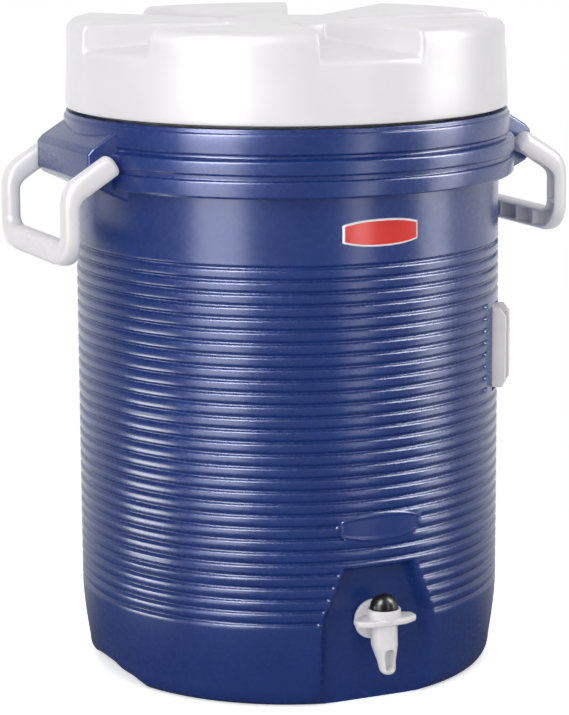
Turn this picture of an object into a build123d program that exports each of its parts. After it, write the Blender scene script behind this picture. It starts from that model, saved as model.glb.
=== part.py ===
import os
from math import cos, radians, sin, sqrt

from build123d import *

os.makedirs("parts", exist_ok=True)

# ---------------------------------------------------------------- driving dimensions, mm
# The dispenser stands on the floor at z = 0, with its barrel's axis on Z and its tap towards -Y.
barrel_r = 155.0
skin = 2.4
base_ring_r = 141.0
base_recess_r = 128.0
base_recess_z = 4.0
clearance = 0.4

groove_count = 30
groove_pitch = 8.69
lowest_groove_z = 62.4
groove_half = 1.7
groove_depth = 1.7

neck_r = 154.7
collar_z = [363.6, 374.5, 379.4, 388.2, 393.3, 406.5]
collar_r = [165.7, 166.1, 162.4]
collar_step = 2.0
lip_r = 160.8
shell_top_z = 410.0

liner_r = 131.0
liner_wall = 2.0
liner_floor_z = 36.0

lid_bottom_z = 412.5
lid_r = 161.0
lid_upper_r = 159.5
lid_top_z = 475.5
lid_wall = 3.2
lid_edge_radius = 8.0
plug_r = 127.5
plug_bottom_z = 390.0
blade_count = 5
recess_floor_z = 457.5
recess_inner_r = 47.0
recess_half_angle = 13.6
lid_set_angle = -2.9
hub_core_r = 43.0
thread_lead = 12.0
thread_crest = 2.6
thread_width = 3.0
thread_low_z = 394.0

pivot_x = 166.0
pivot_z = 379.0
trunnion_r = 5.0
trunnion_depth = 7.0
running_gap = 0.06
arm_slope = 32.0
arm_width = 17.5
arm_past_pivot = 8.8
arm_room_r = 12.5
leg_inner_y = 54.0
leg_width = 14.0
leg_outer_x = 198.5
leg_inner_x = 186.0
grip_z = 322.3
grip_half_z = 9.7
grip_x = 192.6
grip_half_x = 8.4
boss_half_y = 52.0
boss_x = 175.0

tap_wall_y = -138.0
tap_y = -158.5
tap_z = 59.0
tap_tube_r = 10.5
shank_z = 54.2
inlet_r = 6.2
inlet_bore_r = 4.3
flange_r = 14.4
seat_z = 48.0
tip_z = 24.5
button_r = 10.6
button_base_z = 68.2
button_top_z = 81.7
cup_floor_z = 62.6
stem_r = 2.5
button_travel = 5.0

bracket_angle = 54.0
bracket_width = 27.0
bracket_low_z = 208.5
bracket_high_z = 267.0
bracket_flat = 149.5
bracket_reach = 163.5
screw_z = [222.0, 253.5]
screw_r = 2.0


def save(piece, name):
    piece.part.label = name
    export_step(piece.part, f"parts/{name}.step")


def barrel_outline(half_width, half_end, half_middle, z):
    """A flat plate with straight ends and bulging top and bottom."""
    with BuildSketch() as outline:
        with BuildLine():
            ThreePointArc((-half_width, z + half_end), (0, z + half_middle), (half_width, z + half_end))
            Line((half_width, z + half_end), (half_width, z - half_end))
            ThreePointArc((half_width, z - half_end), (0, z - half_middle), (-half_width, z - half_end))
            Line((-half_width, z - half_end), (-half_width, z + half_end))
        make_face()
    return outline.sketch


# the tap recess: a pocket with a flat back wall, narrow at its top and flaring to the base
recess_top_z = 102.5
recess_shoulder_z = 62.0


def recess_outline(grow, top_half, low_half):
    """The recess as seen from the front, grown outwards all round."""
    with BuildSketch() as outline:
        with BuildLine():
            Polyline(
                (-low_half - grow, -40),
                (-low_half - grow, recess_shoulder_z),
                (-top_half - grow, recess_top_z + grow),
                (top_half + grow, recess_top_z + grow),
                (low_half + grow, recess_shoulder_z),
                (low_half + grow, -40),
                close=True,
            )
        make_face()
    return outline.sketch


def recess_block(grow):
    """The recess as a block that flares from its back wall to the barrel's face."""
    with BuildPart() as block:
        with BuildSketch(Plane.XZ.offset(-tap_wall_y - grow)):
            add(recess_outline(grow, 20.0, 34.0))
        with BuildSketch(Plane.XZ.offset(barrel_r + 3)):
            add(recess_outline(grow, 29.0, 46.0))
        loft(ruled=True)
    return block.part


def bracket_plane(distance):
    """A plane facing out from the barrel at the bracket, its local X level and its local Y up."""
    out = Vector(sin(radians(bracket_angle)), -cos(radians(bracket_angle)), 0)
    level = Vector(cos(radians(bracket_angle)), sin(radians(bracket_angle)), 0)
    return Plane(origin=out * distance, x_dir=level, z_dir=out)


bracket_mid_z = (bracket_low_z + bracket_high_z) / 2
bracket_height = bracket_high_z - bracket_low_z


recess_space = recess_block(0)
recess_and_skin = recess_block(skin)
recess_and_foam_gap = recess_block(skin + clearance)

# ---------------------------------------------------------------- outer shell
# The space inside the shell, which the foam fills round the liner.
with BuildPart() as shell_space:
    with BuildSketch(Plane.XZ):
        with BuildLine():
            Polyline(
                (0, base_recess_z + skin),
                (base_recess_r - 2, base_recess_z + skin),
                (139.0, 13.0),
                (147.5, 22.0),
                (barrel_r - skin - groove_depth, 62.0),
                (barrel_r - skin - groove_depth, shell_top_z - skin),
                (0, shell_top_z - skin),
                close=True,
            )
        make_face()
    revolve(axis=Axis.Z)
    add(recess_and_skin, mode=Mode.SUBTRACT)
    with BuildSketch(bracket_plane(bracket_flat - skin)):
        with Locations((0, bracket_mid_z)):
            Rectangle(bracket_width + 14, bracket_height + 12)
    extrude(amount=20, mode=Mode.SUBTRACT)

with BuildPart() as smooth_patches:
    with BuildSketch(Plane.XZ.offset(barrel_r - 30)):
        add(recess_outline(5.0, 26.0, 42.0))
        add(barrel_outline(31.0, 7.5, 11.0, 129.6))
    extrude(amount=40)
    with BuildSketch(bracket_plane(barrel_r - 20)):
        with Locations((0, bracket_mid_z)):
            Rectangle(bracket_width + 12, bracket_height + 9)
    extrude(amount=30)
    with BuildSketch(Plane.XY.offset(lowest_groove_z - 1.2 * groove_half)):
        Circle(barrel_r)
        Circle(barrel_r - groove_depth - 1, mode=Mode.SUBTRACT)
    extrude(amount=220, mode=Mode.INTERSECT)

with BuildPart() as outer_shell:
    with BuildSketch(Plane.XZ):
        with BuildLine():
            Line((0, base_recess_z), (base_recess_r, base_recess_z))
            Line((base_recess_r, base_recess_z), (base_recess_r + 4, 0))
            Line((base_recess_r + 4, 0), (base_ring_r, 0))
            ThreePointArc((base_ring_r, 0), (147.6, 4.4), (150.3, 15.0))
            Spline((150.3, 15.0), (153.6, 38.0), (barrel_r, 62.0), tangents=[(0.19, 1), (0, 1)])
            Polyline(
                (barrel_r, 62.0),
                (barrel_r, collar_z[0] - 41),
                (neck_r, collar_z[0] - 40),
                (neck_r, collar_z[0]),
                (collar_r[0], collar_z[0]),
                (collar_r[0], collar_z[1]),
                (collar_r[0] - collar_step, collar_z[1] + 1),
                (collar_r[0] - collar_step, collar_z[2] - 1),
                (collar_r[1], collar_z[2]),
                (collar_r[1], collar_z[3]),
                (collar_r[2] - collar_step, collar_z[3] + 2),
                (collar_r[2] - collar_step, collar_z[4] - 1),
                (collar_r[2], collar_z[4]),
                (collar_r[2], collar_z[5]),
                (lip_r, collar_z[5] + 0.7),
                (lip_r, shell_top_z),
                (0, shell_top_z),
                (0, base_recess_z),
            )
        make_face()
    revolve(axis=Axis.Z)
    # the narrow grooves run right round, and are filled again where they stop
    with BuildSketch(Plane.XZ):
        for i in range(groove_count):
            z = lowest_groove_z + i * groove_pitch
            with BuildLine():
                Polyline(
                    (barrel_r + 1, z - groove_half - 0.9),
                    (barrel_r - groove_depth, z - groove_half + 0.7),
                    (barrel_r - groove_depth, z + groove_half - 0.7),
                    (barrel_r + 1, z + groove_half + 0.9),
                    close=True,
                )
            make_face()
    revolve(axis=Axis.Z, mode=Mode.SUBTRACT)

    # smooth patches: round the tap recess, the blank plaque, round the bracket
    add(smooth_patches.part)
    # handle bosses, wide at the barrel and narrow at the outer face
    for side in (-1, 1):
        with BuildSketch(Plane.XZ.offset(-boss_half_y)):
            with BuildLine():
                Polyline(
                    (side * 140, 352.0),
                    (side * 147, 355.0),
                    (side * 171, 366.3),
                    (side * boss_x, 370.5),
                    (side * boss_x, 389.0),
                    (side * 171, 393.3),
                    (side * 154, 403.5),
                    (side * 140, 403.5),
                    close=True,
                )
            make_face()
        extrude(amount=2 * boss_half_y)

    add(shell_space.part, mode=Mode.SUBTRACT)
    add(recess_space, mode=Mode.SUBTRACT)
    with BuildSketch(bracket_plane(bracket_flat)):
        with Locations((0, bracket_mid_z)):
            Rectangle(bracket_width + 5, bracket_height + 4)
    extrude(amount=20, mode=Mode.SUBTRACT)
    # mouth for the liner's rim
    with BuildSketch(Plane.XY.offset(shell_top_z - skin - 1)):
        Circle(lip_r - 12)
    extrude(amount=20, mode=Mode.SUBTRACT)
    # tap hole, fill hole, bracket screw holes and trunnion sockets
    with Locations(Plane(origin=(0, tap_wall_y, shank_z), z_dir=(0, -1, 0))):
        Cylinder(inlet_r + 0.3, 30, mode=Mode.SUBTRACT)
    with Locations((0, 0, base_recess_z)):
        Cylinder(9.0, 20, mode=Mode.SUBTRACT)
    for z in screw_z:
        with Locations(bracket_plane(bracket_flat)):
            with Locations((0, z, 0)):
                Cylinder(screw_r, 16, mode=Mode.SUBTRACT)
    for side in (-1, 1):
        for end in (-1, 1):
            socket = Plane(origin=(side * pivot_x, end * (boss_half_y - 4), pivot_z), z_dir=(0, end, 0))
            with Locations(socket):
                Cylinder(trunnion_r + running_gap, 14, mode=Mode.SUBTRACT)
    # room for the arms' ends beside each boss
    for side in (-1, 1):
        for end in (-1, 1):
            arm_side = Plane(origin=(side * pivot_x, end * (leg_inner_y - 1), pivot_z), z_dir=(0, end, 0))
            with Locations(arm_side):
                arm_room = (Align.CENTER, Align.CENTER, Align.MIN)
                Cylinder(arm_room_r, leg_width + 2.5, align=arm_room, mode=Mode.SUBTRACT)
    # finger notches under the base, below the handles
    for side in (-1, 1):
        with BuildSketch(Plane.YZ.offset(side * 148 - 12)):
            with BuildLine():
                Line((-52, -1), (52, -1))
                ThreePointArc((52, -1), (0, 9.0), (-52, -1))
            make_face()
        extrude(amount=24, mode=Mode.SUBTRACT)
save(outer_shell, "outer_shell")
print("outer shell", round(outer_shell.part.volume / 1000), "cm3")

# ---------------------------------------------------------------- inner liner, with the mouth thread
def thread(radius, root, low_z):
    """One turn of a coarse ridge. root is +1 where the ridge stands out and -1 where it stands in."""
    with BuildPart() as ridge:
        with BuildLine(Plane.XY.offset(low_z)) as path:
            Helix(pitch=thread_lead, height=thread_lead * 0.9, radius=radius)
        with BuildSketch(Plane.XZ.offset(0)):
            with BuildLine():
                Polyline(
                    (radius - root * 0.8, low_z - thread_width / 2),
                    (radius + root * thread_crest, low_z - thread_width / 2 + 0.8),
                    (radius + root * thread_crest, low_z + thread_width / 2 - 0.8),
                    (radius - root * 0.8, low_z + thread_width / 2),
                    close=True,
                )
            make_face()
        sweep(path=path.wire(), is_frenet=True)
    return ridge.part


liner_thread = thread(liner_r, -1, thread_low_z - thread_lead / 2)
plug_thread = thread(plug_r, 1, thread_low_z)

with BuildPart() as inner_liner:
    with BuildSketch(Plane.XZ):
        with BuildLine():
            Polyline(
                (0, liner_floor_z - liner_wall),
                (liner_r - 4.2, liner_floor_z - liner_wall),
                (liner_r + liner_wall, liner_floor_z + 4.2),
                (liner_r + liner_wall, shell_top_z - skin - liner_wall),
                (lip_r - 12 - clearance, shell_top_z - skin - liner_wall + 1),
                (lip_r - 12 - clearance, shell_top_z),
                (liner_r, shell_top_z),
                (liner_r, liner_floor_z + 5),
                (liner_r - 5, liner_floor_z),
                (0, liner_floor_z),
                close=True,
            )
        make_face()
    revolve(axis=Axis.Z)
    with Locations(Plane(origin=(0, -liner_r, shank_z), z_dir=(0, -1, 0))):
        Cylinder(inlet_r + 0.3, 20, mode=Mode.SUBTRACT)
    add(liner_thread)
save(inner_liner, "inner_liner")




# ---------------------------------------------------------------- insulation between shell and liner
with BuildPart() as insulation_foam:
    with BuildSketch(Plane.XZ):
        with BuildLine():
            Polyline(
                (0, base_recess_z + skin + clearance),
                (base_recess_r - 2.2, base_recess_z + skin + clearance),
                (138.5, 13.4),
                (147.0, 22.4),
                (barrel_r - skin - groove_depth - clearance, 62.5),
                (barrel_r - skin - groove_depth - clearance, shell_top_z - skin - 6),
                (liner_r + liner_wall + clearance, shell_top_z - skin - 6),
                (liner_r + liner_wall + clearance, liner_floor_z + 4.0),
                (liner_r - 4.0, liner_floor_z - liner_wall - clearance),
                (0, liner_floor_z - liner_wall - clearance),
                close=True,
            )
        make_face()
    revolve(axis=Axis.Z)
    add(recess_and_foam_gap, mode=Mode.SUBTRACT)
    with BuildSketch(bracket_plane(bracket_flat - skin - clearance)):
        with Locations((0, bracket_mid_z)):
            Rectangle(bracket_width + 15, bracket_height + 13)
    extrude(amount=20, mode=Mode.SUBTRACT)
    with Locations(Plane(origin=(0, tap_wall_y, shank_z), z_dir=(0, -1, 0))):
        Cylinder(inlet_r + 0.5, 40, mode=Mode.SUBTRACT)
    with Locations((0, 0, base_recess_z)):
        Cylinder(9.4, 20, mode=Mode.SUBTRACT)
    for z in screw_z:
        with Locations(bracket_plane(bracket_flat)):
            with Locations((0, z, 0)):
                Cylinder(screw_r + 0.3, 26, mode=Mode.SUBTRACT)
save(insulation_foam, "insulation_foam")

with BuildPart() as foam_plug:
    with Locations((0, 0, base_recess_z - 0.8)):
        Cylinder(12.0, 1.6)
    with Locations((0, 0, base_recess_z + 4)):
        Cylinder(8.9, 8)
    fillet(foam_plug.edges().group_by(Axis.Z)[0], 0.6)
save(foam_plug, "foam_plug")

# ---------------------------------------------------------------- badge on the neck, left blank
with BuildPart() as badge:
    with BuildSketch(Plane.XY.offset(collar_z[0] - 45)):
        Circle(neck_r + 1.3)
        Circle(neck_r + 0.1, mode=Mode.SUBTRACT)
    extrude(amount=40)
    with BuildSketch(Plane.XZ.offset(neck_r - 20)):
        add(barrel_outline(29.0, 7.8, 9.4, 337.2))
    extrude(amount=40, mode=Mode.INTERSECT)
save(badge, "badge")

# ---------------------------------------------------------------- cup dispenser bracket: a slot open at its top
with BuildPart() as cup_bracket:
    with BuildSketch(bracket_plane(bracket_flat)):
        with Locations((0, bracket_mid_z)):
            RectangleRounded(bracket_width, bracket_height, 3)
    extrude(amount=bracket_reach - bracket_flat)
    with BuildSketch(bracket_plane(bracket_flat + 2.4)):
        with Locations((0, bracket_mid_z + 2)):
            Rectangle(bracket_width - 5, bracket_height)
    extrude(amount=bracket_reach - bracket_flat - 4.8, mode=Mode.SUBTRACT)
    with BuildSketch(bracket_plane(bracket_flat + 2.4)):
        with Locations((0, bracket_mid_z + 3)):
            Rectangle(bracket_width - 10, bracket_height)
    extrude(amount=bracket_reach - bracket_flat, mode=Mode.SUBTRACT)
    for z in screw_z:
        with Locations(bracket_plane(bracket_flat)):
            with Locations((0, z, 0)):
                Cylinder(screw_r, 10, mode=Mode.SUBTRACT)
save(cup_bracket, "cup_bracket")

with BuildPart() as bracket_screws:
    for z in screw_z:
        with Locations(bracket_plane(bracket_flat + 2.4)):
            with Locations((0, z, 1.1)):
                Cylinder(3.8, 2.2)
            with Locations((0, z, -5)):
                Cylinder(screw_r - 0.05, 10)
save(bracket_screws, "bracket_screws")

# ---------------------------------------------------------------- lid
with BuildPart() as lid_blank:
    with BuildSketch(Plane.XZ):
        with BuildLine():
            Polyline(
                (0, lid_bottom_z),
                (lid_r - 0.8, lid_bottom_z),
                (lid_r, lid_bottom_z + 0.8),
                (lid_upper_r, lid_top_z - lid_edge_radius),
            )
            ThreePointArc(
                (lid_upper_r, lid_top_z - lid_edge_radius),
                (
                    lid_upper_r - lid_edge_radius + lid_edge_radius * sqrt(0.5),
                    lid_top_z - lid_edge_radius + lid_edge_radius * sqrt(0.5),
                ),
                (lid_upper_r - lid_edge_radius, lid_top_z),
            )
            Polyline(
                (lid_upper_r - lid_edge_radius, lid_top_z),
                (recess_inner_r, lid_top_z - 1.6),
                (0, lid_top_z - 1.8),
                (0, lid_bottom_z),
            )
        make_face()
    revolve(axis=Axis.Z)


def wedge(half_angle, inner, outer):
    """A flat ring sector centred on the tap's side."""
    left = radians(-90 - half_angle)
    right = radians(-90 + half_angle)
    with BuildSketch() as sector:
        with BuildLine():
            Line((inner * cos(left), inner * sin(left)), (outer * cos(left), outer * sin(left)))
            ThreePointArc(
                (outer * cos(left), outer * sin(left)), (0, -outer), (outer * cos(right), outer * sin(right))
            )
            Line((outer * cos(right), outer * sin(right)), (inner * cos(right), inner * sin(right)))
            ThreePointArc(
                (inner * cos(right), inner * sin(right)), (0, -inner), (inner * cos(left), inner * sin(left))
            )
        make_face()
    return sector.sketch


blade_half_angle = 180 / blade_count - recess_half_angle

with BuildPart() as recess_cut:
    with BuildSketch(Plane.XY.offset(recess_floor_z)):
        add(wedge(recess_half_angle, recess_inner_r, lid_r + 6))
    extrude(amount=30)

with BuildPart() as blade_core:
    with BuildSketch(Plane.XY.offset(recess_floor_z - 10)):
        add(wedge(blade_half_angle - 2.4, recess_inner_r - 6, lid_upper_r - lid_edge_radius - 1))
    extrude(amount=lid_top_z - recess_floor_z + 10 - lid_wall - 1.4)

with BuildPart() as lid_cover:
    add(lid_blank.part)
    for i in range(blade_count):
        turn = lid_set_angle + i * 360 / blade_count
        add(recess_cut.part.rotate(Axis.Z, turn), mode=Mode.SUBTRACT)
    with Locations((0, 0, lid_bottom_z - 1)):
        Cylinder(
            lid_upper_r - lid_wall,
            recess_floor_z - lid_wall - lid_bottom_z + 1,
            align=(Align.CENTER, Align.CENTER, Align.MIN),
            mode=Mode.SUBTRACT,
        )
    for i in range(blade_count):
        turn = lid_set_angle + (i + 0.5) * 360 / blade_count
        add(blade_core.part.rotate(Axis.Z, turn), mode=Mode.SUBTRACT)
    with Locations((0, 0, recess_floor_z - 10)):
        Cylinder(
            hub_core_r,
            lid_top_z - recess_floor_z + 10 - lid_wall - 1.8,
            align=(Align.CENTER, Align.CENTER, Align.MIN),
            mode=Mode.SUBTRACT,
        )
save(lid_cover, "lid_cover")

with BuildPart() as lid_foam:
    with Locations((0, 0, lid_bottom_z + 3.4)):
        Cylinder(
            lid_upper_r - lid_wall - clearance,
            recess_floor_z - lid_wall - lid_bottom_z - 3.4 - clearance,
            align=(Align.CENTER, Align.CENTER, Align.MIN),
        )
    with BuildSketch(Plane.XY.offset(recess_floor_z - 10)):
        add(wedge(blade_half_angle - 2.9, recess_inner_r - 5, lid_upper_r - lid_edge_radius - 1.6))
    wedge_core = extrude(amount=lid_top_z - recess_floor_z + 10 - lid_wall - 2.0, mode=Mode.PRIVATE)
    for i in range(blade_count):
        add(wedge_core.rotate(Axis.Z, lid_set_angle + (i + 0.5) * 360 / blade_count))
    with Locations((0, 0, recess_floor_z - 10)):
        Cylinder(
            hub_core_r - clearance,
            lid_top_z - recess_floor_z + 10 - lid_wall - 1.8 - clearance,
            align=(Align.CENTER, Align.CENTER, Align.MIN),
        )
    with Locations((0, 0, plug_bottom_z + 3)):
        Cylinder(plug_r - 3, lid_bottom_z - plug_bottom_z + 1, align=(Align.CENTER, Align.CENTER, Align.MIN))
save(lid_foam, "lid_foam")

with BuildPart() as lid_liner_body:
    with BuildSketch(Plane.XZ):
        with BuildLine():
            Polyline(
                (0, plug_bottom_z),
                (plug_r - 4, plug_bottom_z),
                (plug_r, plug_bottom_z + 4),
                (plug_r, lid_bottom_z),
                (lid_upper_r - lid_wall - clearance, lid_bottom_z),
                (lid_upper_r - lid_wall - clearance, lid_bottom_z + 3),
                (plug_r - 3 + clearance, lid_bottom_z + 3),
                (plug_r - 3 + clearance, plug_bottom_z + 3 - clearance),
                (0, plug_bottom_z + 3 - clearance),
                close=True,
            )
        make_face()
    revolve(axis=Axis.Z)
with BuildPart() as lid_liner:
    add(lid_liner_body.part)
    add(plug_thread)
save(lid_liner, "lid_liner")

with BuildPart() as lid_gasket:
    with BuildSketch(Plane.XY.offset(shell_top_z + 0.3)):
        Circle(146.0)
        Circle(136.0, mode=Mode.SUBTRACT)
    extrude(amount=lid_bottom_z - shell_top_z - 0.6)
save(lid_gasket, "lid_gasket")


# ---------------------------------------------------------------- bail handles, a mirrored pair
def leg_outline(side):
    """One leg seen from the side: the sloping arm, the bend and the hanging part."""
    slope = radians(arm_slope)
    along = Vector(cos(slope), -sin(slope))
    across = Vector(sin(slope), cos(slope)) * (arm_width / 2)
    pivot = Vector(pivot_x, pivot_z)
    inner_end = pivot - along * arm_past_pivot
    outer_run = (leg_outer_x - (pivot + across).X) / along.X
    inner_run = (leg_inner_x - (pivot - across).X) / along.X
    corners = [
        inner_end - across,
        inner_end + across,
        pivot + across + along * outer_run,
        Vector(leg_outer_x, grip_z),
        Vector(leg_inner_x, grip_z),
        pivot - across + along * inner_run,
    ]
    with BuildSketch() as outline:
        with BuildLine():
            Polyline(*[(side * p.X, p.Y) for p in corners], close=True)
        make_face()
    return outline.sketch


def handle(side):
    """A bail: two legs that bend down from their trunnions, and a grip across the bottom."""
    with BuildPart() as bail:
        for end in (-1, 1):
            with BuildSketch(Plane.XZ.offset(-end * (leg_inner_y + leg_width / 2) - leg_width / 2)):
                add(leg_outline(side))
            extrude(amount=leg_width)
        bends = bail.edges().filter_by(Axis.Y)
        fillet(bends.filter_by(lambda e: e.center().Z > 376), 4.5)
        bends = bail.edges().filter_by(Axis.Y)
        fillet(bends.filter_by(lambda e: 340 < e.center().Z < 376 and abs(e.center().X) > 180), 8.0)
        with BuildSketch(Plane.XZ.offset(-leg_inner_y - leg_width)):
            with Locations((side * grip_x, grip_z)):
                RectangleRounded(2 * grip_half_x, 2 * grip_half_z, 6.0)
        extrude(amount=2 * (leg_inner_y + leg_width))
        # the two lower corners are rounded as seen from the side of the barrel
        with BuildSketch(Plane.YZ.offset(side * grip_x - 60)):
            with Locations((0, grip_z - grip_half_z)):
                Rectangle(2 * (leg_inner_y + leg_width), 120, align=(Align.CENTER, Align.MIN))
            fillet(vertices().group_by(Axis.Y)[0], 14.0)
        extrude(amount=120, mode=Mode.INTERSECT)
        for end in (-1, 1):
            # the leg is a channel, open towards the barrel
            channel_z = grip_z + grip_half_z + 14
            with Locations((side * leg_inner_x, end * (leg_inner_y + leg_width / 2), channel_z)):
                Box(13, leg_width - 5, 20, mode=Mode.SUBTRACT)
            # trunnion, which turns in the boss
            socket = Plane(origin=(side * pivot_x, end * leg_inner_y, pivot_z), z_dir=(0, -end, 0))
            with Locations(socket):
                Cylinder(trunnion_r, trunnion_depth, align=(Align.CENTER, Align.CENTER, Align.MIN))
    return bail


left_handle = handle(-1)
save(left_handle, "left_handle")
right_handle = handle(1)
save(right_handle, "right_handle")

# ---------------------------------------------------------------- tap
flange_plane = Plane(origin=(0, tap_wall_y, tap_z), x_dir=(1, 0, 0), z_dir=(0, -1, 0))
shank_plane = Plane(origin=(0, tap_wall_y, shank_z), x_dir=(1, 0, 0), z_dir=(0, -1, 0))
tap_axis = Axis((0, tap_y, 0), (0, 0, 1))
tap_section = Plane(origin=(0, tap_y, 0), x_dir=(1, 0, 0), z_dir=(0, -1, 0))
washer_thick = 1.2
flange_thick = 3.0
tap_top_z = 60.6
taper_z = 43.0
chamber_r = 8.0
outlet_r = 4.4
tap_reach = tap_wall_y - tap_y
seal_top_z = seat_z - 0.35
seal_thick = 2.6
stem_foot_z = seal_top_z - seal_thick - 1.4


def disc(radius, low, high, mode=Mode.ADD):
    """A round solid on the tap's upright axis, added to the part being built."""
    with Locations((0, tap_y, low)):
        Cylinder(radius, high - low, align=(Align.CENTER, Align.CENTER, Align.MIN), mode=mode)


with BuildPart() as tap_outer_washer:
    with BuildSketch(shank_plane):
        Circle(9.4)
        Circle(inlet_r + 0.2, mode=Mode.SUBTRACT)
    extrude(amount=washer_thick)
save(tap_outer_washer, "tap_outer_washer")

with BuildPart() as tap_body:
    with BuildSketch(flange_plane.offset(washer_thick)):
        Circle(flange_r)
    extrude(amount=flange_thick)
    fillet(tap_body.edges().group_by(Axis.Y)[0], 1.2)
    with BuildSketch(shank_plane.offset(-20)):
        Circle(inlet_r)
    extrude(amount=20 + washer_thick)
    with BuildSketch(shank_plane.offset(washer_thick)):
        Circle(inlet_r + 0.1)
    extrude(amount=tap_reach - washer_thick)
    disc(tap_tube_r, taper_z, tap_top_z)
    with BuildSketch(Plane.XY.offset(taper_z)):
        with Locations((0, tap_y)):
            Circle(tap_tube_r)
    with BuildSketch(Plane.XY.offset(tip_z)):
        with Locations((0, tap_y - 4.0)):
            Circle(6.3)
    loft()
    fillet(tap_body.edges().group_by(Axis.Z)[0], 3.0)
    # inlet, valve chamber, seat, and the outlet that leaves through the front
    with BuildSketch(shank_plane.offset(-21)):
        Circle(inlet_bore_r)
    extrude(amount=21 + tap_reach, mode=Mode.SUBTRACT)
    disc(chamber_r, seat_z + 1.5, tap_top_z - 1.6, Mode.SUBTRACT)
    disc(chamber_r, 39.5, seat_z, Mode.SUBTRACT)
    disc(5.0, seat_z - 1, seat_z + 3, Mode.SUBTRACT)
    disc(5.2, stem_foot_z - button_travel - 0.6, 40.0, Mode.SUBTRACT)
    disc(stem_r + running_gap, tap_top_z - 3, tap_top_z + 1, Mode.SUBTRACT)
    outlet = Plane(origin=(0, tap_y + 2.5, 44.0), x_dir=(1, 0, 0), z_dir=(0, -0.55, -0.835))
    with BuildSketch(outlet):
        Circle(outlet_r)
    extrude(amount=26, mode=Mode.SUBTRACT)
save(tap_body, "tap_body")

with BuildPart() as tap_bonnet:
    disc(12.8, tap_top_z, 71.4)
    # two leaf-shaped finger wings
    for side in (-1, 1):
        with BuildSketch(Plane.XY.offset(tap_top_z)):
            with BuildLine():
                ThreePointArc((side * 4, tap_y - 12.0), (side * 17, tap_y - 9.4), (side * 23.4, tap_y - 2.5))
                ThreePointArc((side * 23.4, tap_y - 2.5), (side * 23.6, tap_y + 1.5), (side * 20, tap_y + 4.5))
                Line((side * 20, tap_y + 4.5), (side * 4, tap_y + 6))
                Line((side * 4, tap_y + 6), (side * 4, tap_y - 12.0))
            make_face()
        extrude(amount=4.4)
    disc(button_r + 0.35, cup_floor_z, 80, Mode.SUBTRACT)
    disc(stem_r + running_gap, tap_top_z - 1, cup_floor_z + 1, Mode.SUBTRACT)
save(tap_bonnet, "tap_bonnet")

hub_z = button_top_z - 4.2
dome_z = button_top_z - button_r
with BuildPart() as tap_button:
    with BuildSketch(tap_section):
        with BuildLine():
            Line((stem_r + 0.05, hub_z), (stem_r + 0.05, button_base_z + 4))
            Line((stem_r + 0.05, button_base_z + 4), (stem_r + 1.5, button_base_z + 4))
            Line((stem_r + 1.5, button_base_z + 4), (stem_r + 1.5, hub_z - 0.8))
            Line((stem_r + 1.5, hub_z - 0.8), (8.0, button_base_z + 6.5))
            Line((8.0, button_base_z + 6.5), (8.8, button_base_z))
            Line((8.8, button_base_z), (button_r, button_base_z))
            Line((button_r, button_base_z), (button_r, dome_z))
            ThreePointArc(
                (button_r, dome_z), (button_r * sqrt(0.5), dome_z + button_r * sqrt(0.5)), (0, button_top_z)
            )
            Line((0, button_top_z), (0, hub_z))
            Line((0, hub_z), (stem_r + 0.05, hub_z))
        make_face()
    revolve(axis=tap_axis)
save(tap_button, "tap_button")

with BuildPart() as tap_stem:
    disc(stem_r, stem_foot_z, hub_z - 0.05)
    disc(4.6, stem_foot_z, seal_top_z - seal_thick)
save(tap_stem, "tap_stem")

with BuildPart() as tap_seal:
    disc(6.6, seal_top_z - seal_thick, seal_top_z)
    disc(stem_r + 0.05, seal_top_z - seal_thick - 1, seal_top_z + 1, Mode.SUBTRACT)
    fillet(tap_seal.edges().filter_by(GeomType.CIRCLE).group_by(SortBy.RADIUS)[-1], 0.6)
save(tap_seal, "tap_seal")

# return spring between the cup's floor and the button
spring_r = 6.2
spring_wire_r = 0.5
spring_low_z = cup_floor_z + spring_wire_r + 0.05
spring_high_z = button_base_z + 5.2
with BuildPart() as tap_spring:
    with BuildLine(Plane(origin=(0, tap_y, spring_low_z))) as coil:
        Helix(pitch=(spring_high_z - spring_low_z) / 5, height=spring_high_z - spring_low_z, radius=spring_r)
    with BuildSketch(Plane(origin=coil.line @ 0, z_dir=coil.line % 0)):
        Circle(spring_wire_r)
    sweep(path=coil.line, is_frenet=True)
save(tap_spring, "tap_spring")

# washer and nut that clamp the tap from inside the liner
inner_face = liner_r - 0.9 + tap_wall_y
with BuildPart() as tap_inner_washer:
    with BuildSketch(shank_plane.offset(inner_face)):
        Circle(12.5)
        Circle(inlet_r + 0.2, mode=Mode.SUBTRACT)
    extrude(amount=-2.4)
save(tap_inner_washer, "tap_inner_washer")

with BuildPart() as tap_nut:
    with BuildSketch(shank_plane.offset(inner_face - 2.4)):
        RegularPolygon(radius=11.0, side_count=6)
        Circle(inlet_r + 0.05, mode=Mode.SUBTRACT)
    extrude(amount=-6.0)
save(tap_nut, "tap_nut")
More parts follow.
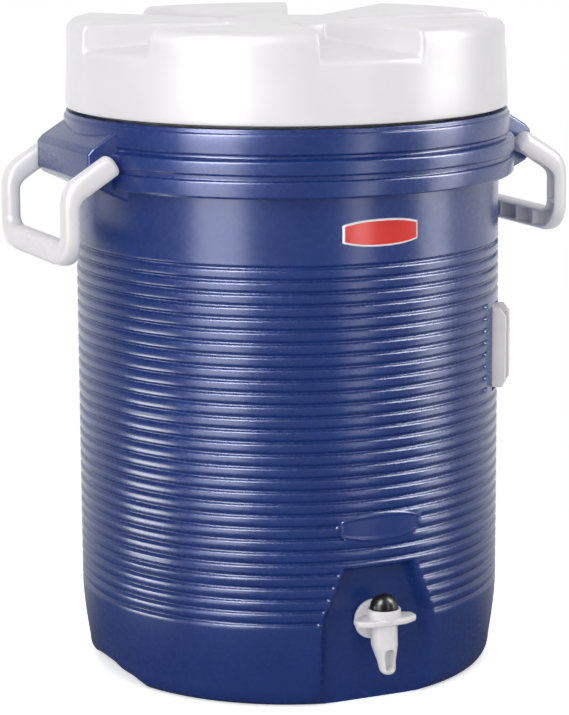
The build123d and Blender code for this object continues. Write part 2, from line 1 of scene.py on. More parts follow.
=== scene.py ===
import math
import bpy
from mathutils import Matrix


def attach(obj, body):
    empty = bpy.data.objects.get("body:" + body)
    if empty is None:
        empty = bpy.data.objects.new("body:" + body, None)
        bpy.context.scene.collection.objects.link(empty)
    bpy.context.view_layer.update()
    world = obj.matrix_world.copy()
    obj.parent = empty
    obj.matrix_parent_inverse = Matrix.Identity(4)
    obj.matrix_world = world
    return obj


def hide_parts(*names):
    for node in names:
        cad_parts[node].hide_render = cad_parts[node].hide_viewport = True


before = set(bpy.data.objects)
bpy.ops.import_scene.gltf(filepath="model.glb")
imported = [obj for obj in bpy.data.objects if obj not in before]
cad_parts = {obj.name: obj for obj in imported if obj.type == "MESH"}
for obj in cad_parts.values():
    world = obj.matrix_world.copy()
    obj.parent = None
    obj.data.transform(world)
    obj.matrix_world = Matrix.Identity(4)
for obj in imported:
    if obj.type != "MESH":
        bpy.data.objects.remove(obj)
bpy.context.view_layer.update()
print("frame loaded")

mm = 0.001


def deselectAll():
    if bpy.context.object and bpy.context.object.mode != "OBJECT":
        bpy.ops.object.mode_set(mode="OBJECT")
    bpy.ops.object.select_all(action="DESELECT")


def pick(piece):
    deselectAll()
    piece.select_set(True)
    bpy.context.view_layer.objects.active = piece


def applyModifier(piece, kind, **settings):
    pick(piece)
    modifier = piece.modifiers.new(kind.lower(), kind)
    for key, value in settings.items():
        setattr(modifier, key, value)
    bpy.ops.object.modifier_apply(modifier=modifier.name)


def bevelEdges(piece, width, segments=3, angle=35):
    # clamp_overlap keeps a bevel from crossing its neighbours
    applyModifier(piece, "BEVEL", width=width, segments=segments, limit_method="ANGLE",
                  angle_limit=math.radians(angle), use_clamp_overlap=True)


def weld(piece, distance=1e-6, turnOut=True):
    pick(piece)
    bpy.ops.object.mode_set(mode="EDIT")
    bpy.ops.mesh.select_all(action="SELECT")
    bpy.ops.mesh.remove_doubles(threshold=distance)
    bpy.ops.mesh.dissolve_degenerate(threshold=distance)
    if turnOut:
        bpy.ops.mesh.select_all(action="SELECT")
        bpy.ops.mesh.normals_make_consistent(inside=False)
    bpy.ops.object.mode_set(mode="OBJECT")


def placeInMesh(piece):
    pick(piece)
    bpy.ops.object.transform_apply(location=True, rotation=True, scale=True)


def smooth(piece, angle=40):
    pick(piece)
    bpy.ops.object.shade_smooth_by_angle(angle=math.radians(angle))


def joinPieces(name, pieces):
    deselectAll()
    for piece in pieces:
        piece.select_set(True)
    bpy.context.view_layer.objects.active = pieces[0]
    bpy.ops.object.join()
    pieces[0].name = name
    return pieces[0]


def cutWith(piece, cutter):
    applyModifier(piece, "BOOLEAN", object=cutter, operation="DIFFERENCE", solver="EXACT")
    bpy.data.objects.remove(cutter, do_unlink=True)


def finishPiece(piece, name, body, material, nodes=(), angle=40):
    piece.name = name
    smooth(piece, angle)
    piece.data.materials.clear()
    piece.data.materials.append(material)
    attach(piece, body)
    if nodes:
        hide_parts(*nodes)
    print("made", name, len(piece.data.polygons), "faces")
    return piece


def roundedOutline(corners, steps=5, closed=True):
    # corners are (x, z, radius); each corner becomes an arc
    points = []
    count = len(corners)
    for i, (x, z, radius) in enumerate(corners):
        if radius == 0 or (not closed and i in (0, count - 1)):
            points.append((x, z))
            continue
        before = corners[i - 1]
        after = corners[(i + 1) % count]
        toBefore = math.atan2(before[1] - z, before[0] - x)
        toAfter = math.atan2(after[1] - z, after[0] - x)
        turn = (toAfter - toBefore + math.pi) % (2 * math.pi) - math.pi
        middle = toBefore + turn / 2
        reach = radius / math.sin(abs(turn) / 2)
        centreX = x + reach * math.cos(middle)
        centreZ = z + reach * math.sin(middle)
        start = toBefore - math.copysign(math.pi / 2, turn)
        sweep = math.copysign(math.pi - abs(turn), turn)
        for step in range(steps + 1):
            at = start - sweep * step / steps
            points.append((centreX + radius * math.cos(at), centreZ + radius * math.sin(at)))
    return points


def outlinePiece(name, outline, place, thickness):
    # a flat outline drawn as a filled loop, put in space by place(u, v), then extruded by thickness
    deselectAll()
    bpy.ops.mesh.primitive_circle_add(vertices=len(outline), fill_type="NGON")
    piece = bpy.context.object
    piece.name = name
    for vertex, point in zip(piece.data.vertices, outline):
        vertex.co = place(*point)
    bpy.ops.object.mode_set(mode="EDIT")
    bpy.ops.mesh.select_all(action="SELECT")
    bpy.ops.mesh.extrude_region_move(TRANSFORM_OT_translate={"value": thickness})
    bpy.ops.mesh.select_all(action="SELECT")
    bpy.ops.mesh.normals_make_consistent(inside=False)
    bpy.ops.object.mode_set(mode="OBJECT")
    return piece


def spunPiece(name, profile, steps, centre=(0, 0, 0)):
    # a profile of (radius, height) spun round an upright axis through centre
    deselectAll()
    bpy.ops.mesh.primitive_circle_add(vertices=len(profile), fill_type="NOTHING")
    piece = bpy.context.object
    piece.name = name
    for vertex, (radius, z) in zip(piece.data.vertices, profile):
        vertex.co = (centre[0] + radius, centre[1], centre[2] + z)
    bpy.ops.object.mode_set(mode="EDIT")
    bpy.ops.mesh.select_all(action="SELECT")
    bpy.ops.mesh.spin(steps=steps, angle=2 * math.pi, center=centre, axis=(0, 0, 1))
    bpy.ops.object.mode_set(mode="OBJECT")
    weld(piece, 2e-6)
    return piece


def gridPiece(name, columns, rows, place, turnOut=False):
    # a grid primitive whose points are wrapped round the object by place(column, row)
    deselectAll()
    bpy.ops.mesh.primitive_grid_add(x_subdivisions=columns - 1, y_subdivisions=rows - 1, size=2)
    piece = bpy.context.object
    piece.name = name
    for vertex in piece.data.vertices:
        row, column = divmod(vertex.index, columns)
        vertex.co = place(column, row)
    weld(piece, 1e-6, turnOut)
    return piece


def ramp(low, high, value):
    share = min(1, max(0, (value - low) / (high - low)))
    return share * share * (3 - 2 * share)


def linearColour(code):
    channels = [int(code[i:i + 2], 16) / 255 for i in (0, 2, 4)]
    return [c / 12.92 if c <= 0.04045 else ((c + 0.055) / 1.055) ** 2.4 for c in channels] + [1]


def addNode(tree, kind, settings=None, links=None):
    node = tree.nodes.new(kind)
    for key, value in (settings or {}).items():
        if isinstance(key, int) or key in node.inputs:
            node.inputs[key].default_value = value
        else:
            setattr(node, key, value)
    for key, source in (links or {}).items():
        tree.links.new(source, node.inputs[key])
    return node


def newMaterial(name, colour, roughness, ior=1.5, metallic=0.0):
    material = bpy.data.materials.new(name)
    material.use_nodes = True
    shader = material.node_tree.nodes["Principled BSDF"]
    shader.inputs["Base Color"].default_value = linearColour(colour)
    shader.inputs["Roughness"].default_value = roughness
    shader.inputs["IOR"].default_value = ior
    shader.inputs["Metallic"].default_value = metallic
    return material, material.node_tree, shader


def mottle(tree, shader, light, dark, size):
    # slow change between two close colours over patches of that size
    place = addNode(tree, "ShaderNodeTexCoord")
    noise = addNode(tree, "ShaderNodeTexNoise", {"Scale": 1 / size, "Detail": 3.0, "Roughness": 0.55},
                    {"Vector": place.outputs["Object"]})
    blend = addNode(tree, "ShaderNodeValToRGB", links={"Fac": noise.outputs["Fac"]})
    blend.color_ramp.elements[0].position = 0.35
    blend.color_ramp.elements[0].color = linearColour(dark)
    blend.color_ramp.elements[1].position = 0.65
    blend.color_ramp.elements[1].color = linearColour(light)
    tree.links.new(blend.outputs["Color"], shader.inputs["Base Color"])
    return place


def grainBump(tree, shader, place, layers):
    # layers are (feature size in metres, height in metres); each is a bump on top of the one before
    normal = None
    for size, height in layers:
        noise = addNode(tree, "ShaderNodeTexNoise", {"Scale": 1 / size, "Detail": 2.0, "Roughness": 0.5},
                        {"Vector": place.outputs["Object"]})
        bump = addNode(tree, "ShaderNodeBump", {"Strength": 1.0, "Distance": height},
                       {"Height": noise.outputs["Fac"]})
        if normal:
            tree.links.new(normal, bump.inputs["Normal"])
        normal = bump.outputs["Normal"]
    tree.links.new(normal, shader.inputs["Normal"])


def roughnessNoise(tree, shader, place, size, low, high):
    noise = addNode(tree, "ShaderNodeTexNoise", {"Scale": 1 / size, "Detail": 3.0},
                    {"Vector": place.outputs["Object"]})
    spread = addNode(tree, "ShaderNodeMapRange", {"To Min": low, "To Max": high},
                     {"Value": noise.outputs["Fac"]})
    tree.links.new(spread.outputs["Result"], shader.inputs["Roughness"])


# rotomoulded polyethylene, blue: satin, a fine pebble from the mould, and a slow wobble in the wall
bluePolyethylene, tree, shader = newMaterial("rotomouldedPolyethyleneBlue", "163274", 0.22, 1.51)
place = mottle(tree, shader, "173476", "152f70", 0.05)
roughnessNoise(tree, shader, place, 0.004, 0.22, 0.32)
grainBump(tree, shader, place, [(0.045, 0.0004), (0.0011, 0.00002)])

# injection moulded polypropylene, off-white: smooth satin with a faint texture
whitePolypropylene, tree, shader = newMaterial("mouldedPolypropyleneWhite", "e4e2e4", 0.36, 1.49)
place = mottle(tree, shader, "e6e4e6", "e2e0e2", 0.04)
roughnessNoise(tree, shader, place, 0.003, 0.32, 0.42)
grainBump(tree, shader, place, [(0.05, 0.0003), (0.0009, 0.000015)])
shader.inputs["Specular IOR Level"].default_value = 0.3
shader.inputs["Subsurface Weight"].default_value = 0.08
shader.inputs["Subsurface Radius"].default_value = (0.004, 0.004, 0.004)

# the liner: smooth food-grade polyethylene, a little greyer than the outside mouldings
linerPolyethylene, tree, shader = newMaterial("linerPolyethyleneWhite", "e6e6e4", 0.3, 1.51)
place = mottle(tree, shader, "e8e8e6", "e3e3e1", 0.06)
grainBump(tree, shader, place, [(0.03, 0.0003)])

# poured polyurethane foam: matte cream with open cells
pouredFoam, tree, shader = newMaterial("pouredPolyurethaneFoam", "e8d9a6", 0.95, 1.4)
place = mottle(tree, shader, "ebddac", "dfcd96", 0.01)
grainBump(tree, shader, place, [(0.0012, 0.0003)])

# printed label: red ink under a clear gloss film
redLabel, tree, shader = newMaterial("printedLabelRed", "d8352f", 0.22, 1.5)
place = mottle(tree, shader, "da3731", "d3322c", 0.02)
grainBump(tree, shader, place, [(0.02, 0.0001)])
whiteLabel, tree, shader = newMaterial("printedLabelWhite", "f2f0f0", 0.25, 1.5)
mottle(tree, shader, "f3f1f1", "efeded", 0.02)

# acetal push button: near-black with a soft sheen
blackAcetal, tree, shader = newMaterial("acetalBlack", "141416", 0.28, 1.48)
place = mottle(tree, shader, "161618", "101012", 0.006)
roughnessNoise(tree, shader, place, 0.002, 0.24, 0.36)

# nitrile washers and valve seal: matte black rubber
blackNitrile, tree, shader = newMaterial("nitrileRubberBlack", "1d1d1d", 0.7, 1.52)
place = mottle(tree, shader, "202020", "181818", 0.004)
grainBump(tree, shader, place, [(0.0006, 0.00003)])

# lid gasket: pale silicone foam
paleSilicone, tree, shader = newMaterial("siliconeGasketPale", "cfcfca", 0.6, 1.43)
place = mottle(tree, shader, "d2d2cd", "c9c9c4", 0.01)
grainBump(tree, shader, place, [(0.0008, 0.00004)])

# stainless wire and screws: drawn and lightly brushed
stainlessSteel, tree, shader = newMaterial("stainlessSteelDrawn", "b9bbbd", 0.3, 1.5, 1.0)
place = mottle(tree, shader, "bdbfc1", "b2b4b6", 0.003)
grainBump(tree, shader, place, [(0.0005, 0.00002)])
print("materials ready")


# the barrel: plain foot, grooves, neck and collar, with the tap pocket, bracket seat and foot notches
barrel = {
    "radius": 155 * mm, "neckRadius": 154.7 * mm, "taper": 4.9 * mm, "taperTop": 62 * mm,
    "ringRadius": 141 * mm, "edgeHeight": 15 * mm, "ringInner": 132 * mm, "recessHeight": 4 * mm,
    "grooves": 30, "groovePitch": 8.69 * mm, "lowestGroove": 62.4 * mm,
    "grooveDepth": 2.0 * mm, "grooveHalf": 2.45 * mm, "grooveEnd": 1.8 * mm,
    "splitAt": 188.4 * mm, "neckStep": (316 * mm, 321 * mm), "neckLow": 320 * mm,
}
pocket = {
    "wall": 138 * mm, "top": 102.5 * mm, "shoulder": 62 * mm, "topHalf": 27.5 * mm, "lowHalf": 46 * mm,
    "sideRun": 12 * mm, "sideRunTop": 7.5 * mm, "topRun": 7 * mm, "plainHalf": 44.6 * mm, "plainSlope": 0.39,
}
plaque = {"height": 129.6 * mm, "half": 30.5 * mm, "middleRise": 10.4 * mm, "endRise": 5.6 * mm}
bracket = {
    "angle": 54, "distance": 149.5 * mm, "half": 13.5 * mm, "low": 208.5 * mm, "high": 267 * mm,
    "gap": 2.6 * mm, "edgeRun": 1.2 * mm, "smoothArc": 29.5 * mm,
}
notch = {"half": 52 * mm, "rise": 9 * mm, "start": -1 * mm, "fadeHeight": 32 * mm}


def bodyRadius(z):
    if z < barrel["taperTop"]:
        share = (barrel["taperTop"] - z) / (barrel["taperTop"] - barrel["edgeHeight"])
        return barrel["radius"] - barrel["taper"] * share ** 1.6
    return barrel["radius"] + (barrel["neckRadius"] - barrel["radius"]) * ramp(*barrel["neckStep"], z)


def grooveAt(z):
    # (share of the depth, height of the groove's middle)
    index = round((z - barrel["lowestGroove"]) / barrel["groovePitch"])
    index = min(barrel["grooves"] - 1, max(0, index))
    middle = barrel["lowestGroove"] + index * barrel["groovePitch"]
    away = abs(z - middle) / barrel["grooveHalf"]
    return (0.5 + 0.5 * math.cos(math.pi * away) if away < 1 else 0), middle


def smoothHalfWidth(middle):
    # how far from the front the wall stays plain at that groove's height
    half = -1
    if middle < pocket["top"] + 2 * mm:
        rise = max(0, middle - pocket["shoulder"])
        half = pocket["plainHalf"] - pocket["plainSlope"] * rise
    reach = abs(middle - plaque["height"]) + 1 * mm
    if reach < plaque["middleRise"]:
        bulge = max(0, (reach - plaque["endRise"]) / (plaque["middleRise"] - plaque["endRise"]))
        half = plaque["half"] * (1 - bulge) ** 0.4 + 1.2 * mm
    return half


def grooveOpening(angle, middle):
    opening = 1
    half = smoothHalfWidth(middle)
    if half > 0 and abs(angle) < 1:
        side = barrel["radius"] * abs(math.sin(angle))
        opening = ramp(0, barrel["grooveEnd"], side - half)
    if bracket["low"] - 6 * mm < middle < bracket["high"] + 6 * mm:
        turned = (angle - math.radians(bracket["angle"]) + math.pi) % (2 * math.pi) - math.pi
        opening *= ramp(0, barrel["grooveEnd"], abs(turned) * barrel["radius"] - bracket["smoothArc"])
    return opening


def pocketDepth(x, z, outward):
    # outward is the wall's distance in front of the axis before the pocket
    rise = min(1, max(0, (z - pocket["shoulder"]) / (pocket["top"] - pocket["shoulder"])))
    half = pocket["lowHalf"] + (pocket["topHalf"] - pocket["lowHalf"]) * rise
    run = pocket["sideRun"] + (pocket["sideRunTop"] - pocket["sideRun"]) * rise
    side = (half - abs(x)) / run
    top = (pocket["top"] - z) / pocket["topRun"]
    inside = min(side, top)
    return max(0, outward - pocket["wall"]) * ramp(0, 1, inside)


def notchRise(angle, radius):
    y = radius * math.cos(angle)
    if abs(y) > notch["half"] or radius < barrel["ringInner"] + 3 * mm:
        return 0
    crown = 1 - (y / notch["half"]) ** 2
    return max(0, notch["start"] + (notch["rise"] - notch["start"]) * crown)


def barrelPoint(angle, radius, z):
    share, middle = grooveAt(z)
    if share > 0:
        radius -= barrel["grooveDepth"] * share * grooveOpening(angle, middle)
    x = radius * math.sin(angle)
    y = -radius * math.cos(angle)
    if math.cos(angle) > 0.9 and z < pocket["top"]:
        y += pocketDepth(x, z, -y)
    turned = (angle - math.radians(bracket["angle"]) + math.pi) % (2 * math.pi) - math.pi
    if abs(turned) < 0.2:
        level = radius * math.sin(turned)
        outward = radius * math.cos(turned)
        edge = min(bracket["half"] + bracket["gap"] - abs(level), z - bracket["low"] + bracket["gap"],
                   bracket["high"] + bracket["gap"] - z)
        depth = (outward - bracket["distance"]) * ramp(0, bracket["edgeRun"], edge)
        x -= depth * math.sin(math.radians(bracket["angle"]))
        y += depth * math.cos(math.radians(bracket["angle"]))
    if z < notch["fadeHeight"] and radius > barrel["ringInner"]:
        z += notchRise(angle, radius) * (1 - z / notch["fadeHeight"])
    return (x, y, z)


def angleColumns(fineRanges, coarse=2.25):
    # all round from the back, with finer steps where something ends or is cut in
    angles = []
    angle = -180.0
    while angle < 180 - 1e-6:
        angles.append(angle)
        step = coarse
        for low, high, fine in fineRanges:
            if low - 1e-6 <= angle < high - 1e-6:
                step = min(step, fine)
            elif angle < low < angle + step:
                step = low - angle
        angle += step
    angles.append(180.0)
    return [math.radians(a) for a in angles]


def grooveRows(low, high):
    rows = []
    for i in range(barrel["grooves"]):
        middle = barrel["lowestGroove"] + i * barrel["groovePitch"]
        for step in range(-5, 6):
            rows.append(middle + barrel["grooveHalf"] * step / 5)
    return [z for z in rows if low <= z <= high]


def barrelPart(name, profile, angles):
    def place(column, row):
        radius, z = profile[row]
        return barrelPoint(angles[column], radius, z)

    return gridPiece(name, len(angles), len(profile), place)


bracketRanges = [(42, 44.5, 0.4), (47.2, 48.8, 0.2), (59.2, 60.8, 0.2), (63.5, 66, 0.4)]
notchRanges = [(-112, -68, 1.1), (68, 112, 1.1)]
lowProfile = [(0, barrel["recessHeight"]), (64 * mm, barrel["recessHeight"])]
lowProfile += [(127 * mm, barrel["recessHeight"]), (129.5 * mm, 3.4 * mm), (131 * mm, 0.8 * mm)]
lowProfile += [(barrel["ringInner"] + 0.6 * mm, 0), (134.9 * mm, 0), (135.1 * mm, 0)]
lowProfile.append((138 * mm, 0))
for step in range(0, 10):
    turn = math.pi / 2 * step / 9
    lowProfile.append((
        barrel["ringRadius"] + (bodyRadius(barrel["edgeHeight"]) - barrel["ringRadius"]) * math.sin(turn),
        barrel["edgeHeight"] * (1 - math.cos(turn)),
    ))
plainRows = [z * mm for z in (17, 19, 21, 23, 25.5, 28, 31, 34, 37, 40, 43, 46, 49, 52, 55, 57.5)]
pocketRows = [(94 + 0.8 * i) * mm for i in range(13)]
rows = plainRows + grooveRows(59 * mm, barrel["splitAt"])
rows += [z for z in pocketRows if all(abs(z - other) > 0.3 * mm for other in rows)]
lowProfile += [(bodyRadius(z), z) for z in sorted(rows) + [barrel["splitAt"]]]
lowAngles = angleColumns([(-19.5, 19.5, 0.3)] + notchRanges)
barrelLower = barrelPart("barrelLower", lowProfile, lowAngles)
finishPiece(barrelLower, "barrelLower", "cooler", bluePolyethylene, angle=60)

collarCorners = [
    (154.7, 345, 0), (154.7, 363.2, 2.0), (165.7, 363.6, 1.6), (165.7, 374.9, 1.6), (163.5, 375.6, 0.6),
    (163.5, 378.9, 0.8), (166.1, 379.4, 1.5), (166.1, 388.6, 1.6), (160.4, 390.2, 1.2), (160.4, 392.4, 1.0),
    (162.4, 393.1, 1.4), (162.4, 406.9, 1.6), (160.8, 407.2, 0.5), (160.8, 410, 0.5), (149, 410, 0.4),
    (148.9, 400, 0),
]
edgeRows = [z * mm for z in (205.3, 205.9, 206.5, 207.1, 207.7, 267.9, 268.5, 269.1, 269.6, 270.2)]
rows = grooveRows(barrel["splitAt"], barrel["neckLow"])
rows += [z for z in edgeRows if all(abs(z - other) > 0.25 * mm for other in rows)]
rows += [z * mm for z in (318, 319.5, 321, 330, 337)]
highProfile = [(bodyRadius(z), z) for z in [barrel["splitAt"]] + sorted(rows)]
highProfile += [(x * mm, z * mm) for x, z in roundedOutline(collarCorners, 4, closed=False)]
highAngles = angleColumns(bracketRanges + [(-14.5, -11, 0.4), (11, 14.5, 0.4)])
barrelUpper = barrelPart("barrelUpper", highProfile, highAngles)
finishPiece(barrelUpper, "barrelUpper", "cooler", bluePolyethylene, ["outer_shell"], 60)

boss = {"half": 52, "corners": [(138, 349, 0), (147, 355, 3), (171, 366.3, 3), (175, 370.5, 2),
                                (175, 389, 2), (171, 393.3, 2.5), (154, 403.5, 2), (138, 403.5, 0)]}
bossOutline = roundedOutline(boss["corners"], 4)
for side, name in ((-1, "bossLeft"), (1, "bossRight")):
    bossPiece = outlinePiece(name, bossOutline, lambda u, v: (side * u * mm, -boss["half"] * mm, v * mm),
                             (0, 2 * boss["half"] * mm, 0))
    bevelEdges(bossPiece, 2.2 * mm, 4, 50)
    finishPiece(bossPiece, name, "cooler", bluePolyethylene)


def curvedPlate(name, spec, radius, thickness, edge, lip=0):
    # laid on the barrel: its upper and lower edges bulge, its border falls away over edge,
    # and inside the border it's lower by lip
    across = 60
    up = 24

    def place(column, row):
        u = -1 + 2 * column / across
        v = -1 + 2 * row / up
        rise = (spec["endRise"] + (spec["middleRise"] - spec["endRise"]) * (1 - abs(u) ** 2.5)) * v
        border = min(spec["half"] * (1 - abs(u)), spec["endRise"] * (1 - abs(v)))
        raised = thickness * ramp(0, edge, border)
        raised -= lip * ramp(edge + 0.5 * mm, edge + 1.2 * mm, border)
        angle = spec["half"] * u / radius
        reach = radius + raised
        return (reach * math.sin(angle), -reach * math.cos(angle), spec["height"] + rise)

    return gridPiece(name, across + 1, up + 1, place)


# the plaque is blank, with a narrow raised border
plaquePad = curvedPlate("plaquePad", plaque, barrel["radius"] - 0.1 * mm, 1.2 * mm, 0.7 * mm, 0.6 * mm)
finishPiece(plaquePad, "plaquePad", "cooler", bluePolyethylene)
label = {"height": 337.2 * mm, "half": 29 * mm, "middleRise": 9.6 * mm, "endRise": 6.3 * mm}
labelBack = curvedPlate("labelBack", label, barrel["neckRadius"] - 0.05 * mm, 0.9 * mm, 0.5 * mm)
finishPiece(labelBack, "labelBack", "cooler", whiteLabel, ["badge"])
labelFace = dict(label, half=28.1 * mm, middleRise=8.7 * mm, endRise=5.4 * mm)
labelFront = curvedPlate("labelFront", labelFace, barrel["neckRadius"] + 0.3 * mm, 0.85 * mm, 0.5 * mm)
finishPiece(labelFront, "labelFront", "cooler", redLabel)
print("barrel done")


# the lid: five blades with a finger recess between each two, sizes in mm and degrees
lid = {
    "blades": 5, "setAngle": -2.9, "recessHalf": 13.6, "wallFoot": 3.0, "wallTop": 3.5, "reach": 7.0,
    "rimRadius": 159.5, "rimFillet": 8.5, "top": 475.5, "hubTop": 473.3,
}


def lidRows():
    # each row is (blade radius, blade height, recess radius, recess height) in mm
    rows = [(0, 448, 0, 448), (60, 448, 60, 448), (140, 448, 140, 448), (156.2, 448, 156.2, 448)]
    rows += [(156.3, z, 156.3, z) for z in (446, 414)]
    rows += [(r, z, r, z) for r, z in ((156.5, 412.5), (160.0, 412.5), (160.6, 412.7), (160.95, 413.3))]
    for z in (416, 424, 432, 440, 447, 449.5):
        r = 161 - 1.4 * ramp(413, 449, z)
        rows.append((r, z, r, z))
    top = lid["top"]
    fillet = lid["rimFillet"]
    bladeSide = top - fillet
    for step in range(9):
        share = step / 8
        turn = math.pi / 2 * (1 - share)
        rows.append((lid["rimRadius"], 451.3 + (bladeSide - 451.3) * share,
                     154 + 5.5 * math.sin(turn), 451.3 + 5.5 * math.cos(turn)))
    for step in range(1, 10):
        turn = math.pi / 2 * (1 - step / 9)
        rows.append((lid["rimRadius"] - fillet + fillet * math.sin(turn), bladeSide + fillet * math.cos(turn),
                     154 - 3 * step / 9, 456.8 + 0.03 * step))
    for r in (147, 141, 134, 126, 118, 110, 102, 94, 86, 78, 71, 64, 58, 54):
        out = (r - 50) / 100
        rows.append((r, lid["hubTop"] + (top - lid["hubTop"]) * out, r, 461.7 - 4.7 * out))
    for r, z in ((52, 461.7), (50.8, 462.0), (49.6, 462.9), (48.9, 464.2), (48.0, 466.6), (47.1, 469.2),
                 (46.3, 471.2), (45.2, 472.5), (43.8, 473.1), (42.4, 473.3)):
        rows.append((r, lid["hubTop"], r, z))
    rows += [(r, lid["hubTop"], r, lid["hubTop"]) for r in (38, 28, 14, 0)]
    return rows


def lidColumns():
    # each column is (share of the plain stretch, wall it belongs to, offset along the wall's normal, lift)
    # lift counts up from the recess floor when positive, and down from the blade's top when negative
    wall = [(-7, 0), (-5, 0), (-3.8, 0)]
    foot = lid["wallFoot"]
    crown = lid["wallTop"]
    for step in range(6):
        turn = math.pi / 2 * step / 5
        wall.append((-0.35 - foot + foot * math.sin(turn), foot * (1 - math.cos(turn)) + 0.001))
    for step in range(6):
        turn = math.pi / 2 * step / 5
        wall.append((0.35 + crown * (1 - math.cos(turn)), -crown * (1 - math.sin(turn)) - 0.001))
    wall += [(5, -0.0005), (7, -0.0005)]
    columns = []
    for sector in range(lid["blades"]):
        centre = 72 * sector + lid["setAngle"]
        for offset, lift in reversed(wall):
            columns.append(("wall", centre - lid["recessHalf"], -offset, lift))
        for step in range(1, 8):
            columns.append(("floor", centre, step / 8, 0))
        for offset, lift in wall:
            columns.append(("wall", centre + lid["recessHalf"], offset, lift))
        for step in range(1, 18):
            columns.append(("blade", centre, step / 18, -0.0005))
    columns.append(columns[0])
    return columns


def lidPlace(column, row):
    kind, centre, offset, lift = lidColumnList[column]
    bladeR, bladeZ, floorR, floorZ = lidRowList[row]
    gap = math.hypot(bladeR - floorR, bladeZ - floorZ)
    scale = min(1, gap / 8) if kind == "wall" else 1
    share = 0
    if gap > 1e-6:
        share = lift * scale / gap if lift >= 0 else 1 + lift * scale / gap
    if kind == "blade":
        share = 1
    radius = floorR + (bladeR - floorR) * share
    z = floorZ + (bladeZ - floorZ) * share
    spread = max(radius, 45)
    if kind == "wall":
        small = 0.25 + 0.75 * scale
        keep = offset if abs(offset) >= 5 else offset * small
        angle = math.radians(centre) + keep / spread
    else:
        reach = math.degrees(lid["reach"] / spread)
        if kind == "floor":
            half = lid["recessHalf"] - reach
            angle = math.radians(centre - half + 2 * half * offset)
        else:
            low = centre + lid["recessHalf"] + reach
            high = centre + 72 - lid["recessHalf"] - reach
            angle = math.radians(low + (high - low) * offset)
    return (radius * math.sin(angle) * mm, -radius * math.cos(angle) * mm, z * mm)


lidRowList = lidRows()
lidColumnList = lidColumns()
lidCover = gridPiece("lidCover", len(lidColumnList), len(lidRowList), lidPlace, turnOut=True)
finishPiece(lidCover, "lidCover", "lid", whitePolypropylene, ["lid_cover"], 50)
print("lid done")


# the bail handles: one section swept along arm, leg and grip, sizes in mm and degrees
handle = {
    "pivotX": 166, "pivotZ": 379, "slope": 32, "pastPivot": 8.8, "legX": 192.3, "legY": 61, "gripZ": 321,
    "armBend": 17, "gripBend": 14, "armHalf": (8.7, 7.3), "legHalf": (6.6, 7.4), "gripHalf": (8.3, 8.5),
    "ridges": 11, "ridgePitch": 7.4, "ridgeHeight": 0.6, "hollow": 9.0, "ribHalf": 1.0, "step": 1.0,
}


def handlePath():
    # half of the handle's middle line, from the free end of the arm to the middle of the grip
    # each point is (x, y, z, how far round the arm's bend, how far round the grip's bend) in mm and shares
    slope = math.radians(handle["slope"])
    turn = math.pi / 2 - slope
    cornerZ = handle["pivotZ"] - (handle["legX"] - handle["pivotX"]) * math.tan(slope)
    bend = handle["armBend"]
    lead = bend * math.tan(turn / 2)
    armLength = (handle["legX"] - handle["pivotX"]) / math.cos(slope) + handle["pastPivot"] - lead
    points = []

    def straight(start, direction, length, arm, grip):
        count = max(2, round(length / handle["step"]))
        for i in range(count):
            at = length * i / count
            points.append(tuple(a + b * at for a, b in zip(start, direction)) + (arm, grip))

    side = -handle["legY"]
    startX = handle["pivotX"] - handle["pastPivot"] * math.cos(slope)
    startZ = handle["pivotZ"] + handle["pastPivot"] * math.sin(slope)
    straight((startX, side, startZ), (math.cos(slope), 0, -math.sin(slope)), armLength, 0, 0)
    for i in range(14):
        angle = slope + turn * i / 14
        points.append((handle["legX"] - bend * (1 - math.sin(angle)), side,
                       cornerZ - lead + bend * math.cos(angle), i / 14, 0))
    low = handle["gripZ"] + handle["gripBend"]
    straight((handle["legX"], side, cornerZ - lead), (0, 0, -1), cornerZ - lead - low, 1, 0)
    for i in range(16):
        angle = math.pi / 2 * i / 16
        points.append((handle["legX"], side + handle["gripBend"] * (1 - math.cos(angle)),
                       low - handle["gripBend"] * math.sin(angle), 1, i / 16))
    straight((handle["legX"], side + handle["gripBend"], handle["gripZ"]), (0, 1, 0),
             handle["legY"] - handle["gripBend"], 1, 1)
    return points


def handleRows():
    # (middle, outward direction, sideways direction, half sizes, depth of the hollow on the barrel's side)
    half = []
    slope = math.radians(handle["slope"])
    travelled = 0
    path = handlePath()
    for i, (x, y, z, arm, grip) in enumerate(path):
        if i:
            travelled += math.dist(path[i][:3], path[i - 1][:3])
        tilt = (math.pi / 2 - slope) * (1 - arm)
        outward = (math.cos(tilt), 0, math.sin(tilt))
        down = math.pi / 2 * grip
        sideways = (0, math.cos(down), math.sin(down))
        wide = [a + (b - a) * ramp(0, 1, arm) for a, b in zip(handle["armHalf"], handle["legHalf"])]
        wide = [a + (b - a) * ramp(0, 1, grip) for a, b in zip(wide, handle["gripHalf"])]
        cap = math.sqrt(max(0, 1 - (1 - min(1, travelled / 5)) ** 2))
        rib = min(abs(y + 36), abs(y + 12)) if grip == 1 else min(abs(z - 336), abs(travelled - 20))
        hollow = handle["hollow"] * ramp(handle["ribHalf"], handle["ribHalf"] + 1.2, rib)
        if travelled < 20:
            hollow = 0
        ridge = 0
        if grip == 1 and abs(y) < handle["ridgePitch"] * handle["ridges"] / 2:
            ridge = handle["ridgeHeight"] * math.cos(2 * math.pi * y / handle["ridgePitch"])
        half.append(((x, y, z), outward, sideways, wide[0] * cap, wide[1] * cap, hollow, ridge))
    middle = ((handle["legX"], 0, handle["gripZ"]), (1, 0, 0), (0, 0, 1), *handle["gripHalf"],
              handle["hollow"], handle["ridgeHeight"])
    other = [((p[0], -p[1], p[2]), out, (w[0], -w[1], w[2]), *rest) for p, out, w, *rest in reversed(half)]
    return half + [middle] + other


